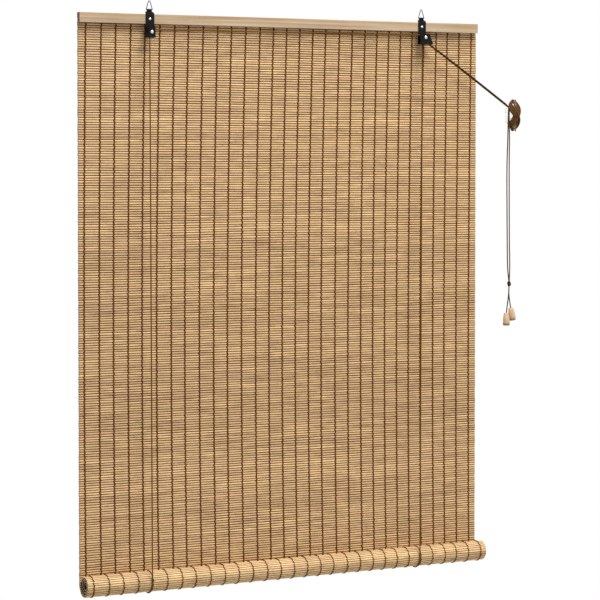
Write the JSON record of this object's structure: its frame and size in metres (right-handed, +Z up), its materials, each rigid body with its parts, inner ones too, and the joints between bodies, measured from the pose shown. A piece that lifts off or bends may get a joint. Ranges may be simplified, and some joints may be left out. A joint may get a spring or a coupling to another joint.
{
  "type": "bamboo roll up blind",
  "caption": "A roll-up window blind of split bamboo slats on brown warp threads, with a wooden head rail, wire hanging rings, lift cords and a wall cleat.",
  "frame": {"origin": "midway between the two hanging rings, at the inside of their tops", "axes": "+Z is up along the hanging mat, +Y points to the wall behind the blind, +X is to the right as seen from the room"},
  "size_m": [0.8885, 0.0476, 1.0252],
  "materials": {
    "rail_wood": "matte",
    "bamboo": "matte",
    "pull_wood": "matte",
    "thread": "matte",
    "cord": "matte",
    "black_steel": "satin",
    "bright_steel": "satin",
    "pale_plastic": "gloss"
  },
  "bodies": {
    "blind_frame": {"head_rail": "rail_wood", "mat_heading": "bamboo", "hanging_mat": "bamboo", "hanging_threads": "thread", "heading_staples": "bright_steel", "cord_staples": "bright_steel", "left_hanger": "black_steel", "right_hanger": "black_steel", "hanger_screws": "bright_steel", "sheave_rivets": "bright_steel", "left_guide_housing": "black_steel", "right_lock_housing": "black_steel", "cross_cord": "cord", "right_lock_cord": "cord", "left_front_cord": "cord", "right_front_cord": "cord", "left_back_cord": "cord", "right_back_cord": "cord", "wall_cleat": "pale_plastic", "pull_cords": "cord", "cleat_winding": "cord", "hanging_cords": "cord", "pull_knot": "cord", "cord_tails": "cord", "left_pull": "pull_wood", "right_pull": "pull_wood"},
    "left_ring_body": {"left_ring": "bright_steel"},
    "right_ring_body": {"right_ring": "bright_steel"},
    "cord_loops": {"left_roll_loop": "cord", "right_roll_loop": "cord"},
    "roll": {"rolled_mat": "bamboo", "roll_threads": "thread"},
    "guide_wheel": {"guide_sheave": "bright_steel"},
    "lock_wheel": {"lock_sheave": "bright_steel"},
    "grip_slider": {"grip_pin": "black_steel"},
    "grip_wheel": {"grip_roller": "bright_steel"}
  },
  "joints": [
    {"name": "left_ring_swing", "type": "hinge", "parent": "blind_frame", "child": "left_ring_body", "pos_m": [-0.269, 0, -0.0152], "axis": [1, 0, 0], "range_deg": [-90, 90]},
    {"name": "right_ring_swing", "type": "hinge", "parent": "blind_frame", "child": "right_ring_body", "pos_m": [0.2786, 0, -0.0152], "axis": [1, 0, 0], "range_deg": [-90, 90]},
    {"name": "roll_lift", "type": "slide", "parent": "blind_frame", "child": "cord_loops", "axis": [0, 0, 1], "range_m": [0, 0.83566], "deforming": ["hanging_mat", "hanging_threads", "left_front_cord", "right_front_cord", "left_back_cord", "right_back_cord"]},
    {"name": "roll_turn", "type": "hinge", "parent": "cord_loops", "child": "roll", "pos_m": [0, -0.0103, -1.0018], "axis": [1, 0, 0], "continuous": true},
    {"name": "guide_sheave_turn", "type": "hinge", "parent": "blind_frame", "child": "guide_wheel", "pos_m": [-0.269, -0.0082, -0.053], "axis": [0, 1, 0], "continuous": true},
    {"name": "lock_sheave_turn", "type": "hinge", "parent": "blind_frame", "child": "lock_wheel", "pos_m": [0.2816, -0.0082, -0.05], "axis": [0, 1, 0], "continuous": true},
    {"name": "grip_slide", "type": "slide", "parent": "blind_frame", "child": "grip_slider", "axis": [-0.342, 0, -0.9397], "range_m": [0, 0.0018]},
    {"name": "grip_turn", "type": "hinge", "parent": "grip_slider", "child": "grip_wheel", "pos_m": [0.28678, -0.0082, -0.05888], "axis": [0, 1, 0], "continuous": true}
  ],
  "couplings": [
    {"joint": "roll_turn", "follows": "roll_lift", "rad_per_m": -52.632}
  ]
}
